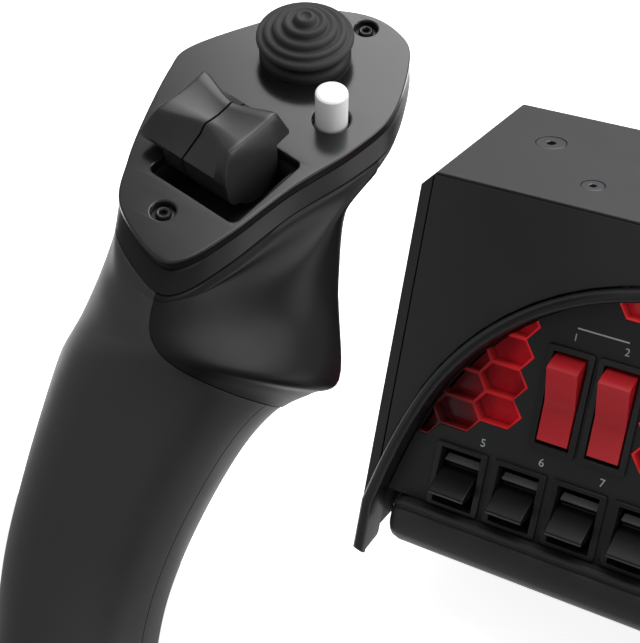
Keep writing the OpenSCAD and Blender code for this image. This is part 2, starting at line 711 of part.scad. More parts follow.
module at_hat() on_head() translate([hat_pos.x, hat_pos.y, hat_pivot]) children();
module hat_housing() color(black) at_hat() difference() {
    union() {
        translate([0, 0, -2]) cylinder(r = 6.3, h = 4.8);
        translate([0, 0, -hat_pivot]) cylinder(r1 = 8.6, r2 = 6.4, h = 2);
    }
    translate([0, 0, -3]) cylinder(r = 5.3, h = 10);
    along_x(0.75, 20);
}
module hat_gimbal() color("dimgray") at_hat() {
    difference() {
        translate([0, 0, -1.3]) cylinder(r = 4.7, h = 2.6);
        translate([0, 0, -3]) cylinder(r = 3.6, h = 6);
        rotate(90) along_x(0.75, 20);
    }
    for (a = [0, 180]) rotate(a) translate([4.4, 0, 0]) along_x(0.7, 1.7, false);
}
module hat_switch() color(black) at_hat() {
    top = -hat_pivot;
    translate([0, 0, -1]) cylinder(r = 1.8, h = top + 8);
    rotate(90) along_x(0.7, 8.8);
    translate([0, 0, top]) rotate_extrude() polygon([
        [0, 6.6], [3, 6.4], [9, 5.6], [11.3, 5.4], [11.3, 6.9], [10, 8.6], [9.1, 8.3], [7.9, 10], [6.6, 9.7],
        [5.1, 11.3], [3.9, 11], [2.4, 12], [0, 12]
    ]);
}
module left_button() color("white") on_head() translate([button_pos.x, button_pos.y, 0]) button(8);
module right_button() color(switch_red) right_side() on_head()
    translate([button_pos.x, button_pos.y, 0]) button(5);
module button(rise) {
    translate([0, 0, -plate_t - 4]) cylinder(r = button_r, h = rise + plate_t + 4);
    translate([0, 0, -plate_t - 4]) cylinder(r = button_r + 1.2, h = 2);
}

// Thumb rockers of the trim pair: drums on one axle in the slot, with skirted tops that reach past it
module trim_half(side) on_head() translate([slot_pos.x, slot_pos.y, trim_pivot]) rotate(slot_turn)
    translate([trim_axis.x, trim_axis.y, 0]) {
        drum = trim_drums[(side + 1) / 2];
        translate([side * (drum + free_gap) / 2, 0, 0]) {
            along_x(trim_r, drum);
            rotate([90, 0, 90]) linear_extrude(drum, center = true)
                polygon([[-10.4, 4.6], [-9.7, 0.8], [-7, -1.8], [0, 0], [0, 4]]);
        }
        translate([side * (trim_w + free_gap) / 2, 0, 0]) rotate([90, 0, 90])
            linear_extrude(trim_w, center = true) polygon([
                [-10.4, 4.6], [-4, 3.2], [4, 3.2], [10.4, 4.6], [8.6, 11.3], [1.4, 10.1], [-5.6, 11.3]
            ]);
    }
module left_trim_outer() color(black) trim_half(-1);
module left_trim_inner() color(black) trim_half(1);
module right_trim_outer() color(black) right_side() trim_half(-1);
module right_trim_inner() color(black) right_side() trim_half(1);
module rudder_rocker() color(black) right_side() on_head() translate([hat_pos.x, hat_pos.y, -0.5]) {
    rotate([90, 0, 0]) cylinder(r = rudder_r, h = rudder_w, center = true);
    rotate([90, 0, 0]) linear_extrude(rudder_w, center = true) polygon([
        [-4, 3], [4, 3], [7, 5.2], [6.4, 7.4], [0, 6.2], [-6.4, 7.4], [-7, 5.2]
    ]);
}

rubber_mat();
base_plate();
base_frame();
main_cover();
rear_panel();
front_fascia();
arch_bezel();
chin_bar();
switch_panel();
side_grilles();
centre_grille();
light_diffusers();
switch_bezels();
switch_bodies();
shaft_collar();
guide_rods();
rod_brackets();
pitch_springs();
main_board();
usb_socket();
cover_screws();
carriage();
rod_bushes();
roll_bearings();
yoke_shaft();
yoke_hub();
yoke_arms();
hub_cover();
left_grip_front();
left_grip_rear();
left_side_cover();
left_head_plate();
left_ptt_bezel();
right_grip_front();
right_grip_rear();
right_side_cover();
right_head_plate();
plate_screws();
hat_housing();
hat_gimbal();
hat_switch();
left_button();
left_trim_outer();
left_trim_inner();
left_ptt_button();
right_trim_outer();
right_trim_inner();
rudder_rocker();
right_button();
alternator_rocker();
battery_rocker();
avionics_rocker_a();
avionics_rocker_b();
beacon_paddle();
landing_paddle();
taxi_paddle();
nav_paddle();
strobe_paddle();
ignition_knob();
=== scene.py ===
import bpy
import bmesh
import json
import math
from mathutils import Matrix, Vector

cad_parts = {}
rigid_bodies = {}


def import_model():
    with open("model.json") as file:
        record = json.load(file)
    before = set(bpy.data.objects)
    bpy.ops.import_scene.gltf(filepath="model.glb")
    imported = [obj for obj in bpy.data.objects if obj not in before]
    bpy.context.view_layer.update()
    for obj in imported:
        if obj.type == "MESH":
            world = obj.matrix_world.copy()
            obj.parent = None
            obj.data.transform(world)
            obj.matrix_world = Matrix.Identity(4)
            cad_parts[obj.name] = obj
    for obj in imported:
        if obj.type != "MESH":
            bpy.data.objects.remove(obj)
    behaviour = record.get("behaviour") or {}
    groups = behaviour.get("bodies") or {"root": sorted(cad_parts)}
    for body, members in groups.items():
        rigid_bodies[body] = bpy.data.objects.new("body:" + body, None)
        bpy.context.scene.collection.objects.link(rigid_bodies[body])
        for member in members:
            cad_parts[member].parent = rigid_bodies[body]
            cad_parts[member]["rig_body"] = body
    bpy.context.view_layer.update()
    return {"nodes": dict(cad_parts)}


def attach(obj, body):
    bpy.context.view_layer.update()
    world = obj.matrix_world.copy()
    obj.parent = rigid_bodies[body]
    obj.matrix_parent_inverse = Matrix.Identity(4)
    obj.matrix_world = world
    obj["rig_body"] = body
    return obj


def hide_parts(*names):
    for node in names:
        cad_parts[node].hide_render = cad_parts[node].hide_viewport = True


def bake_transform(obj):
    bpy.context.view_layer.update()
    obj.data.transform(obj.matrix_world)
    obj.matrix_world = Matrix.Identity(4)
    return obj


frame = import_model()
nodes = frame["nodes"]

# Lengths are in millimetres until a mesh is made; MM turns them into metres.
MM = 0.001
rad = math.radians

# ---------- frames of reference, as in the CAD source ----------

MIRROR = Matrix.Scale(-1, 4, (1, 0, 0))
SHAFT_Z = 72

# The housing's front: X across, Y up its slope from the upper edge, Z out of it
FACE = Matrix.Translation((0, -65, 124)) @ Matrix.Rotation(rad(71.7), 4, "X")

# The left head plate, its top face at height 0
HEAD_POS = Vector((-116.5, -120.6, 165.5))
HEAD = Matrix.Translation(HEAD_POS) @ Matrix.Rotation(rad(12), 4, "Y") @ Matrix.Rotation(rad(18.5), 4, "X")
PLATE_MID = Vector((-1, -14, 0))
PLATE_T = 2.5

# The left horn below the plate: X across, Y up along the horn, Z forward out of it
LEAN = rad(37)
HORN_ORIGIN = HEAD @ PLATE_MID
HORN = Matrix.Translation((0, HORN_ORIGIN.y, HORN_ORIGIN.z)) @ Matrix.Rotation(rad(53), 4, "X")

# On the head plate: its outline, the trims' slot, the hat, the button and the screws
PLATE_OUTLINE = [
    (-12, -50.2), (-18.4, -39.5), (-23.4, -27), (-28, -12), (-28.6, -4), (-21.5, 9.5), (-12.5, 21.8),
    (-1, 27.6), (8.6, 26.6), (15, 21), (21.2, 4), (20, -10), (15, -27), (11.7, -44), (8, -55), (2, -57.2),
]
SLOT_POS, SLOT_TURN, SLOT_SIZE = (0, -29.5), -6, (24, 21.6)
HAT_POS = (-5.3, 8.8)
BUTTON_POS = (11, -5.3)
SCREWS = [(-3.4, -46.6), (1.6, 23.5)]

# The paddles from left to right: the first one's x and the distance between two
PADDLES = ("beacon", "landing", "taxi", "nav", "strobe")
PADDLE_X, PADDLE_PITCH = -89, 17

# Horn stations: x, distance down, forward offset, half width, half depth, heading, slant
GRIP = [
    (-118.2, 22, 0, 22.8, 22.5, 0, 1.02), (-116.5, 35, 0, 24.7, 23.5, 0, 0.61),
    (-113.4, 49.5, 0, 29.2, 24.3, 0, 0.17), (-116.2, 54, 0, 27, 24.6, 2, 0.08),
    (-119.9, 59.5, 0, 23.8, 24.5, 3, 0), (-122.5, 70, 0, 21.1, 23.5, 3, 0),
    (-124.2, 88, 0, 18.3, 22.5, 0, 0), (-123.9, 105, 0, 16.9, 21, 4, 0),
    (-120.3, 121, 0, 15.8, 20, 22, 0), (-116.3, 130, 0, 15.8, 19, 32, 0),
]
# How much the two upper stations draw in at their inner front and outer rear, by distance down
DRAWN_IN = {22: 0.16, 35: 0.08}
ARM = [
    (-116.3, 130.4, 0, 15.8, 19, 32, 0), (-103, 143.5, 0, 17, 18, 54, 0),
    (-85, 150, -1, 16.5, 17.5, 82, 0), (-62, 148, -2, 16, 17, 104, 0),
    (-36, 135, -4, 15.5, 16.5, 123, 0), (-6, 112, -5, 15, 16, 130, 0),
]
# The side cover's outline, looking into the horn from the front
COVER_SEAM = [
    (-117, 60), (-115.7, -33), (-116.3, -40), (-115.6, -46), (-113.5, -50.8), (-110, -53.8),
    (-106, -55.8), (-100.5, -57.2), (-95.5, -57.8), (-91, -57.8), (-86, -57.4), (-58, -56), (-58, 60),
]


# ---------- curves ----------

def spline(a, b, c, d, t):
    """The point at t between b and c on a smooth curve through all four."""
    first, second, third = c - a, 2 * a - 5 * b + 4 * c - d, 3 * b - a - 3 * c + d
    return 0.5 * (2 * b + first * t + second * t * t + third * t ** 3)


def closed_spline(pts, steps):
    pts = [Vector(p) for p in pts]
    n = len(pts)
    return [spline(pts[i - 1], pts[i], pts[(i + 1) % n], pts[(i + 2) % n], k / steps)
            for i in range(n) for k in range(steps)]


def open_spline(pts, steps):
    pts = [Vector(p) for p in pts]
    n = len(pts)
    out = [spline(pts[max(i - 1, 0)], pts[i], pts[i + 1], pts[min(i + 2, n - 1)], k / steps)
           for i in range(n - 1) for k in range(steps)]
    return out + [pts[-1]]


def circle_points(x, y, r, n=48):
    return [(x + r * math.cos(2 * math.pi * i / n), y + r * math.sin(2 * math.pi * i / n)) for i in range(n)]


def round_rect(cx, cy, w, h, r, turn=0, steps=6):
    """A rectangle w by h with corners of radius r, turned by so many degrees."""
    out = []
    for q, (sx, sy) in enumerate(((1, 1), (-1, 1), (-1, -1), (1, -1))):
        for i in range(steps + 1):
            a = rad(q * 90 + 90 * i / steps)
            x, y = sx * (w / 2 - r) + r * math.cos(a), sy * (h / 2 - r) + r * math.sin(a)
            c, s = math.cos(rad(turn)), math.sin(rad(turn))
            out.append((cx + x * c - y * s, cy + x * s + y * c))
    return out


# ---------- meshes ----------

def tidy_normals(bm, sharp):
    """Smooth faces, with a crease where two meet at more than sharp degrees."""
    bmesh.ops.recalc_face_normals(bm, faces=bm.faces)
    for f in bm.faces:
        f.smooth = True
    for e in bm.edges:
        e.smooth = len(e.link_faces) == 2 and e.calc_face_angle(0) < rad(sharp)


def shade(ob, sharp=35):
    bm = bmesh.new()
    bm.from_mesh(ob.data)
    tidy_normals(bm, sharp)
    bm.to_mesh(ob.data)
    bm.free()
    return ob


def make(name, verts, faces, place=None, sharp=35):
    place = place or Matrix.Identity(4)
    me = bpy.data.meshes.new(name)
    me.from_pydata([(place @ Vector(v)) * MM for v in verts], [], faces)
    ob = bpy.data.objects.new(name, me)
    bpy.context.scene.collection.objects.link(ob)
    return shade(ob, sharp)


def skin(name, rings, place=None, sharp=35):
    """A closed body through rings of equal length, capped at both ends."""
    n, m = len(rings[0]), len(rings)
    faces = [tuple(range(n - 1, -1, -1)), tuple((m - 1) * n + j for j in range(n))]
    for i in range(m - 1):
        for j in range(n):
            k = (j + 1) % n
            faces.append((i * n + j, i * n + k, (i + 1) * n + k, (i + 1) * n + j))
    return make(name, [p for r in rings for p in r], faces, place, sharp)


def lathe(name, profile, place=None, n=72, sharp=35):
    """A turned body; profile is (radius, height) from the bottom of the axis to the top of it."""
    angles = [2 * math.pi * i / n for i in range(n)]
    rings = [[(max(r, 0.001) * math.cos(a), max(r, 0.001) * math.sin(a), h) for a in angles]
             for r, h in profile]
    return skin(name, rings, place, sharp)


def prism(name, outline, z0, z1, place=None):
    return skin(name, [[(p[0], p[1], z) for p in outline] for z in (z0, z1)], place)


def block(name, x0, x1, y0, y1, z0, z1, place):
    return prism(name, [(x0, y0), (x1, y0), (x1, y1), (x0, y1)], z0, z1, place)


def rod(name, x, y, r, z0, z1, place=None, n=48):
    return prism(name, circle_points(x, y, r, n), z0, z1, place)


def cut(ob, cutter, op="DIFFERENCE", keep=False):
    """Takes the cutter out of the piece, or with INTERSECT keeps only what is inside it."""
    mod = ob.modifiers.new("cut", "BOOLEAN")
    mod.operation, mod.object, mod.solver = op, cutter, "MANIFOLD"
    dg = bpy.context.evaluated_depsgraph_get()
    me = bpy.data.meshes.new_from_object(ob.evaluated_get(dg))
    ob.modifiers.clear()
    ob.data = me
    if not keep:
        bpy.data.objects.remove(cutter)
    return ob


def copy_of(ob, name, place=None):
    new = bpy.data.objects.new(name, ob.data.copy())
    bpy.context.scene.collection.objects.link(new)
    if place is not None:
        new.data.transform(place)
        shade(new)
    return new


def mirrored(ob, sharp=35):
    """Turns a left piece into its right twin."""
    ob.data.transform(MIRROR)
    return shade(ob, sharp)


def rounded(ob, width, segments=3, angle=30):
    mod = ob.modifiers.new("edges", "BEVEL")
    mod.width, mod.segments, mod.limit_method, mod.angle_limit = width * MM, segments, "ANGLE", rad(angle)
    mod.harden_normals = True
    return ob


def even(ob):
    """Lets the large flat faces set the shading of the rounded edges around them."""
    mod = ob.modifiers.new("even", "WEIGHTED_NORMAL")
    mod.keep_sharp, mod.weight = True, 100
    return ob


def softened(node, width=0.4, segments=2, angle=30):
    """A copy of a CAD node with its flat faces merged and its edges rounded."""
    bm = bmesh.new()
    bm.from_mesh(nodes[node].data)
    bmesh.ops.remove_doubles(bm, verts=bm.verts, dist=5e-6)
    bmesh.ops.dissolve_limit(bm, angle_limit=rad(0.6), verts=bm.verts, edges=bm.edges)
    tidy_normals(bm, angle)
    me = bpy.data.meshes.new(node + "_soft")
    bm.to_mesh(me)
    bm.free()
    ob = bpy.data.objects.new(node + "_soft", me)
    bpy.context.scene.collection.objects.link(ob)
    return rounded(ob, width, segments, angle)


def place_on(ob, node_names, material, body=None):
    """Gives a piece its material and hangs it on a rig body. It stands for CAD nodes, or only rides on the
    given body.
    """
    names = [node_names] if isinstance(node_names, str) else list(node_names)
    ob.data.materials.clear()
    ob.data.materials.append(material)
    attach(ob, body or nodes[names[0]]["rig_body"])
    if body is None:
        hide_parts(*names)
    return ob


# ---------- materials ----------

def material(name):
    mat = bpy.data.materials.new(name)
    mat.use_nodes = True
    return mat, mat.node_tree, mat.node_tree.nodes["Principled BSDF"]


def add(tree, kind, **values):
    node = tree.nodes.new(kind)
    for key, value in values.items():
        setattr(node, key, value)
    return node


def object_noise(tree, scale, detail=3.0, rough=0.5):
    coords = add(tree, "ShaderNodeTexCoord")
    noise = add(tree, "ShaderNodeTexNoise")
    noise.inputs["Scale"].default_value = scale
    noise.inputs["Detail"].default_value = detail
    noise.inputs["Roughness"].default_value = rough
    tree.links.new(coords.outputs["Object"], noise.inputs["Vector"])
    return noise


def ranged(tree, source, low, high):
    """The middle of a noise's range, stretched from low to high."""
    node = add(tree, "ShaderNodeMapRange")
    node.inputs["From Min"].default_value = 0.3
    node.inputs["From Max"].default_value = 0.7
    node.inputs["To Min"].default_value = low
    node.inputs["To Max"].default_value = high
    tree.links.new(source, node.inputs["Value"])
    return node.outputs["Result"]


def mixed(tree, factor, a, b):
    node = add(tree, "ShaderNodeMix", data_type="RGBA")
    node.inputs["A"].default_value = (*a, 1)
    node.inputs["B"].default_value = (*b, 1)
    tree.links.new(factor, node.inputs["Factor"])
    return node.outputs["Result"]


def finish_material(name, colour, shift, rough, rough_shift, grain, grain_depth, metal=0.0, ior=1.5):
    """Plastic, rubber or metal: a slow drift of colour and gloss, and a fine grain in the surface."""
    mat, tree, bsdf = material(name)
    slow = object_noise(tree, 22, 2)
    a = tuple(c * (1 - shift) for c in colour)
    b = tuple(c * (1 + shift) for c in colour)
    tree.links.new(mixed(tree, slow.outputs["Fac"], a, b), bsdf.inputs["Base Color"])
    patches = object_noise(tree, 90, 4)
    gloss = ranged(tree, patches.outputs["Fac"], rough - rough_shift, rough + rough_shift)
    tree.links.new(gloss, bsdf.inputs["Roughness"])
    fine = object_noise(tree, grain, 2)
    bump = add(tree, "ShaderNodeBump")
    bump.inputs["Strength"].default_value = 0.5
    bump.inputs["Distance"].default_value = grain_depth * MM
    tree.links.new(fine.outputs["Fac"], bump.inputs["Height"])
    tree.links.new(bump.outputs["Normal"], bsdf.inputs["Normal"])
    bsdf.inputs["Metallic"].default_value = metal
    bsdf.inputs["IOR"].default_value = ior
    return mat


shell = finish_material("satin_shell", (0.024, 0.024, 0.025), 0.12, 0.46, 0.04, 2600, 0.012)
grip = finish_material("grip_shell", (0.020, 0.020, 0.021), 0.12, 0.43, 0.04, 2200, 0.012)
gloss = finish_material("cover_black", (0.006, 0.006, 0.0065), 0.1, 0.40, 0.03, 1800, 0.004, ior=1.25)
collar_black = finish_material("collar_black", (0.008, 0.008, 0.0085), 0.1, 0.3, 0.03, 900, 0.003, ior=1.3)
plate_gloss = finish_material("plate_black", (0.012, 0.012, 0.0125), 0.1, 0.19, 0.02, 700, 0.002)
bezel = finish_material("bezel_black", (0.014, 0.014, 0.015), 0.1, 0.3, 0.04, 1800, 0.006)
panel = finish_material("panel_black", (0.015, 0.016, 0.016), 0.15, 0.5, 0.05, 3000, 0.015)
switch_black = finish_material("switch_black", (0.016, 0.016, 0.017), 0.12, 0.4, 0.05, 2400, 0.01)
thumb = finish_material("thumb_black", (0.018, 0.018, 0.0185), 0.1, 0.38, 0.04, 2400, 0.01)
# A light grey that paints the highlight on the paddles' lit upper strips
painted_highlight = finish_material("painted_highlight_grey", (0.30, 0.30, 0.305), 0.08, 0.34, 0.04, 2400, 0.008)
# A darker copy of the switch black that paints shade onto the paddles' blades
paddle_black = finish_material("paddle_black", (0.006, 0.006, 0.0065), 0.12, 0.36, 0.05, 2400, 0.01, ior=1.4)
deep = finish_material("deep_black", (0.007, 0.007, 0.008), 0.2, 0.6, 0.05, 1500, 0.01)
rubber = finish_material("rubber_black", (0.022, 0.022, 0.022), 0.2, 0.72, 0.06, 1800, 0.03)
red = finish_material("switch_red", (0.66, 0.020, 0.030), 0.06, 0.36, 0.04, 1800, 0.008)
white = finish_material("button_white", (0.86, 0.86, 0.86), 0.02, 0.4, 0.04, 1800, 0.006)
steel = finish_material("steel_machined", (0.55, 0.56, 0.58), 0.06, 0.3, 0.06, 900, 0.006, metal=1.0)
bright = finish_material("steel_polished", (0.66, 0.67, 0.69), 0.04, 0.16, 0.04, 700, 0.003, metal=1.0)
blackened = finish_material("screw_black", (0.09, 0.09, 0.095), 0.1, 0.34, 0.05, 1400, 0.006, metal=0.8)
screw_black = finish_material("screw_oxide", (0.012, 0.012, 0.013), 0.1, 0.4, 0.05, 1400, 0.006)
bronze = finish_material("bush_bronze", (0.5, 0.3, 0.12), 0.08, 0.35, 0.05, 900, 0.006, metal=1.0)
casting = finish_material("carriage_grey", (0.11, 0.11, 0.115), 0.1, 0.5, 0.05, 900, 0.03)
board = finish_material("board_green", (0.015, 0.1, 0.035), 0.2, 0.4, 0.06, 1200, 0.01)
print_grey = finish_material("print_grey", (0.62, 0.63, 0.63), 0.04, 0.5, 0.03, 2500, 0.002)


def glow(name, shaded_colour, rim_colour, strength, rough):
    """Red plastic lit from behind: brightest at the panel's level, with painted shade that darkens it with
    depth, and darker to the sides.
    """
    mat, tree, bsdf = material(name)
    coords = add(tree, "ShaderNodeTexCoord")
    out_of_face, panel_z, glow_depth = FACE.to_3x3() @ Vector((0, 0, 1)), -4, 4.2
    dot = add(tree, "ShaderNodeVectorMath", operation="DOT_PRODUCT")
    dot.inputs[1].default_value = tuple(out_of_face)
    tree.links.new(coords.outputs["Object"], dot.inputs[0])
    top = (FACE @ Vector((0, 0, panel_z))).dot(out_of_face) * MM
    # Painted shade: the colour darkens from the panel's level down into the cells
    depth_shade = add(tree, "ShaderNodeMapRange")
    depth_shade.inputs["From Min"].default_value = top - glow_depth * MM
    depth_shade.inputs["From Max"].default_value = top
    tree.links.new(dot.outputs["Value"], depth_shade.inputs["Value"])
    lit = mixed(tree, depth_shade.outputs["Result"], shaded_colour, rim_colour)
    noise = object_noise(tree, 110, 3)
    amount = ranged(tree, noise.outputs["Fac"], strength * 0.35, strength * 1.5)
    apart = add(tree, "ShaderNodeSeparateXYZ")
    tree.links.new(coords.outputs["Object"], apart.inputs["Vector"])
    away = add(tree, "ShaderNodeMath", operation="ABSOLUTE")
    tree.links.new(apart.outputs["X"], away.inputs[0])
    outer = add(tree, "ShaderNodeMapRange", interpolation_type="SMOOTHSTEP")
    for key, value in (("From Min", 0.076), ("From Max", 0.1), ("To Min", 1.0), ("To Max", 0.12)):
        outer.inputs[key].default_value = value
    tree.links.new(away.outputs["Value"], outer.inputs["Value"])
    tone = mixed(tree, outer.outputs["Result"], (0.03, 0.004, 0.005), (1, 1, 1))
    tree.links.new(lit, tone.node.inputs["B"])
    faded = add(tree, "ShaderNodeMath", operation="MULTIPLY")
    tree.links.new(amount, faded.inputs[0])
    tree.links.new(outer.outputs["Result"], faded.inputs[1])
    tree.links.new(tone, bsdf.inputs["Base Color"])
    tree.links.new(tone, bsdf.inputs["Emission Color"])
    tree.links.new(faded.outputs["Value"], bsdf.inputs["Emission Strength"])
    bsdf.inputs["Roughness"].default_value = rough
    return mat


# The grille's first colour is painted shade for the depth of its cells
grille = glow("grille_red", (0.10, 0.003, 0.004), (0.62, 0.016, 0.02), 0.34, 0.28)
diffuser = glow("diffuser_red", (0.26, 0.004, 0.008), (0.26, 0.004, 0.008), 0.55, 0.2)


# ---------- horns ----------

outline = closed_spline([(x, y, 0) for x, y in PLATE_OUTLINE], 6)
rim = outline[::-1]
rim_angles = [math.atan2(-(p.y - PLATE_MID.y) / 42, (p.x - PLATE_MID.x) / 25) for p in rim]


def horn_point(x, down, out):
    """A point at so far down the horn and so far forward of its axis."""
    return Vector((x, HORN_ORIGIN.y - down * math.sin(LEAN) - out * math.cos(LEAN),
                   HORN_ORIGIN.z - down * math.cos(LEAN) + out * math.sin(LEAN)))


def station_ring(station, w):
    """The horn's outline at one station, w inside its surface."""
    x, down, forward, half_width, half_depth, heading, slant = station
    h = rad(heading)
    ring = []
    for a in rim_angles:
        slim = 1 - DRAWN_IN.get(down, 0) * max(math.sin(2 * a), 0) ** 2
        across, out = (half_width - w) * math.cos(a) * slim, (half_depth - w) * math.sin(a) * slim
        ring.append(horn_point(x + across * math.cos(h), down - across * math.sin(h) + slant * out,
                               forward + out))
    return ring


def rim_ring(w, h):
    """The head plate's outline, w inside its edge and at height h."""
    ring = []
    for p in rim:
        v = p - PLATE_MID
        q = PLATE_MID + v * (1 - w / v.length)
        ring.append(HEAD @ Vector((q.x, q.y, h)))
    return ring


def smooth_between(p0, p1, p2, p3, t):
    """The point at t between p1 and p2 on a curve that doesn't overshoot where the spacing changes."""
    d0, d1, d2 = (max((b - a).length, 0.01) ** 0.25 for a, b in ((p0, p1), (p1, p2), (p2, p3)))
    m1 = m2 = p2 - p1
    if (p1 - p0).length >= 0.01:
        m1 = d1 * ((p1 - p0) / d0 - (p2 - p0) / (d0 + d1) + (p2 - p1) / d1)
    if (p3 - p2).length >= 0.01:
        m2 = d1 * ((p2 - p1) / d1 - (p3 - p1) / (d1 + d2) + (p3 - p2) / d2)
    return ((2 * t ** 3 - 3 * t ** 2 + 1) * p1 + (t ** 3 - 2 * t ** 2 + t) * m1
            + (3 * t ** 2 - 2 * t ** 3) * p2 + (t ** 3 - t ** 2) * m2)


def loft_rings(keys, steps):
    """Smooth rings between the key rings, in so many steps each."""
    rings = []
    for i in range(len(keys) - 1):
        around = (keys[max(i - 1, 0)], keys[i], keys[i + 1], keys[min(i + 2, len(keys) - 1)])
        rings += [[smooth_between(*points, k / steps) for points in zip(*around)] for k in range(steps)]
    return rings + [keys[-1]]


def grip_form(name, w, rise, extra):
    """The horn from the head plate down, w inside its surface, with rise added above it and extra below."""
    down, aside = Vector((0, -math.sin(LEAN), -math.cos(LEAN))), Vector((1.5, 0, 0))
    neck = 7
    keys = [rim_ring(w, rise - PLATE_T)]
    keys.append([p + neck * down + aside for p in rim_ring(w, -PLATE_T)])
    keys += [station_ring(s, w) for s in GRIP]
    if extra:
        x, length, forward, half_width, half_depth, heading, slant = GRIP[-1]
        x, length = x + extra * math.sin(rad(heading)), length + extra * math.cos(rad(heading))
        keys.append(station_ring((x, length, forward, half_width, half_depth, heading, slant), w))
    return skin(name, loft_rings(keys, 7), None, 60)


def shrunk(pts, d):
    """The outline moved inwards by d on every side."""
    area = sum(a[0] * b[1] - b[0] * a[1] for a, b in zip(pts, pts[1:] + pts[:1]))
    s = 1 if area > 0 else -1
    out = []
    for i, p in enumerate(pts):
        a, b = Vector(pts[i - 1]), Vector(pts[(i + 1) % len(pts)])
        u, v = (Vector(p) - a).normalized(), (b - Vector(p)).normalized()
        n = Vector((-(u.y + v.y), u.x + v.x)) * s
        n = n / max(n.length, 0.01)
        k = d / max(n.dot(Vector((-u.y, u.x)) * s), 0.4)
        out.append((p[0] + n.x * k, p[1] + n.y * k))
    return out


def seam_curve():
    """The side cover's outline with its lower edge smoothed."""
    lower = open_spline([(x, y, 0) for x, y in COVER_SEAM[1:11]], 5)
    return [COVER_SEAM[0]] + [(p.x, p.y) for p in lower] + COVER_SEAM[11:]


def above_plate(depth):
    """All that is over a plane so far below the head plate's top face."""
    return block("above_plate", -90, 90, -90, 90, -depth, 20, HEAD)


def front_half(start):
    """All that is further forward than start."""
    return block("front_half", -200, -20, -170, 130, start, 80, HORN)


def cover_zone(outline):
    """What the outline takes in, from behind the horn to in front of it."""
    return prism("cover_zone", outline, -12, 68, HORN)


def build_horn():
    """The left horn's collar, its front and rear halves and its side cover, with a seam between each."""
    wall, collar_depth, collar_seam, half_seam, cover_seam, cover_rise = 6, 5.0, 0.35, 0.12, 0.25, 0.35
    inner = grip_form("inner", wall, 1, 4)
    body = cut(grip_form("body", 0, 0, 0), inner, keep=True)
    collar = cut(copy_of(body, "left_collar"), above_plate(collar_depth), "INTERSECT")
    body = cut(body, above_plate(collar_depth + collar_seam))
    cover = cut(grip_form("left_side_cover_skin", -cover_rise, 0, 0), inner)
    cover = cut(cover, above_plate(collar_depth + collar_seam))
    cover = cut(cover, cover_zone(shrunk(seam_curve(), cover_seam)), "INTERSECT")
    body = cut(body, cover_zone(seam_curve()))
    front = cut(copy_of(body, "left_grip_front_skin"), front_half(half_seam), "INTERSECT")
    back = cut(copy_of(body, "left_grip_rear_skin"), front_half(-half_seam))
    bpy.data.objects.remove(body)
    return collar, front, back, cover


collar, front, back, cover = build_horn()
for ob in (collar, front, back, cover):
    shade(ob, 40)
right = [copy_of(ob, ob.name.replace("left", "right"), MIRROR) for ob in (collar, front, back, cover)]
# The hole for the button behind the left grip
cut(back, rod("ptt_cut", -121, -12, 9.2, -50, -10, HORN))
shade(back, 40)
place_on(collar, [], collar_black, "yoke")
place_on(front, "left_grip_front", grip)
place_on(back, "left_grip_rear", grip)
place_on(cover, "left_side_cover", gloss)
place_on(right[0], [], collar_black, "yoke")
place_on(right[1], "right_grip_front", grip)
place_on(right[2], "right_grip_rear", grip)
place_on(right[3], "right_side_cover", gloss)

arm = skin("left_arm", loft_rings([station_ring(s, 0) for s in ARM], 7), None, 60)
hub_r = 24.05
around = [2 * math.pi * i / 64 for i in range(64)]
hub_space = skin("hub_space", [[(hub_r * math.cos(a), y, SHAFT_Z + hub_r * math.sin(a)) for a in around]
                               for y in (-245, -145)])
shade(cut(arm, hub_space), 40)
other_arm = copy_of(arm, "right_arm", MIRROR)
place_on(arm, "yoke_arms", grip)
place_on(other_arm, [], grip, "yoke")


# ---------- heads ----------

def outline_plate(name, loops, thick, edge, place):
    """A flat plate with holes and softly rounded edges, its top face at height 0."""
    curve = bpy.data.curves.new(name + "_curve", "CURVE")
    curve.dimensions, curve.fill_mode = "2D", "BOTH"
    for loop in loops:
        s = curve.splines.new("POLY")
        s.points.add(len(loop) - 1)
        for p, q in zip(s.points, loop):
            p.co = (q[0] * MM, q[1] * MM, 0, 1)
        s.use_cyclic_u = True
    curve.extrude = (thick / 2 - edge) * MM
    curve.bevel_depth = edge * MM
    curve.bevel_resolution = 3
    curve.offset = -edge * MM
    ob = bpy.data.objects.new(name + "_curve", curve)
    bpy.context.scene.collection.objects.link(ob)
    me = bpy.data.meshes.new_from_object(ob.evaluated_get(bpy.context.evaluated_depsgraph_get()))
    bpy.data.objects.remove(ob)
    bm = bmesh.new()
    bm.from_mesh(me)
    bmesh.ops.remove_doubles(bm, verts=bm.verts, dist=1e-6)
    bm.to_mesh(me)
    bm.free()
    move = place.copy()
    move.translation = move.translation * MM
    me.transform(move @ Matrix.Translation((0, 0, -thick / 2 * MM)))
    new = bpy.data.objects.new(name, me)
    bpy.context.scene.collection.objects.link(new)
    return even(shade(new, 60))


def head_loops():
    """What both head plates share: the outline, the slot, the button's hole and the screws' recesses."""
    loops = [[(p.x, p.y) for p in closed_spline([(x, y, 0) for x, y in PLATE_OUTLINE], 10)]]
    loops.append(round_rect(*SLOT_POS, *SLOT_SIZE, 1.6, SLOT_TURN))
    loops.append(circle_points(*BUTTON_POS, 4.15))
    loops += [circle_points(x, y, 2.65) for x, y in SCREWS]
    return loops


left_plate = outline_plate("left_plate_skin", head_loops() + [circle_points(*HAT_POS, 6.35)],
                           PLATE_T, 0.45, HEAD)
place_on(left_plate, "left_head_plate", plate_gloss)
right_plate = outline_plate("right_plate_skin", head_loops() + [round_rect(*HAT_POS, 12.8, 9.2, 0.8)],
                            PLATE_T, 0.45, HEAD)
place_on(mirrored(right_plate, 40), "right_head_plate", plate_gloss)

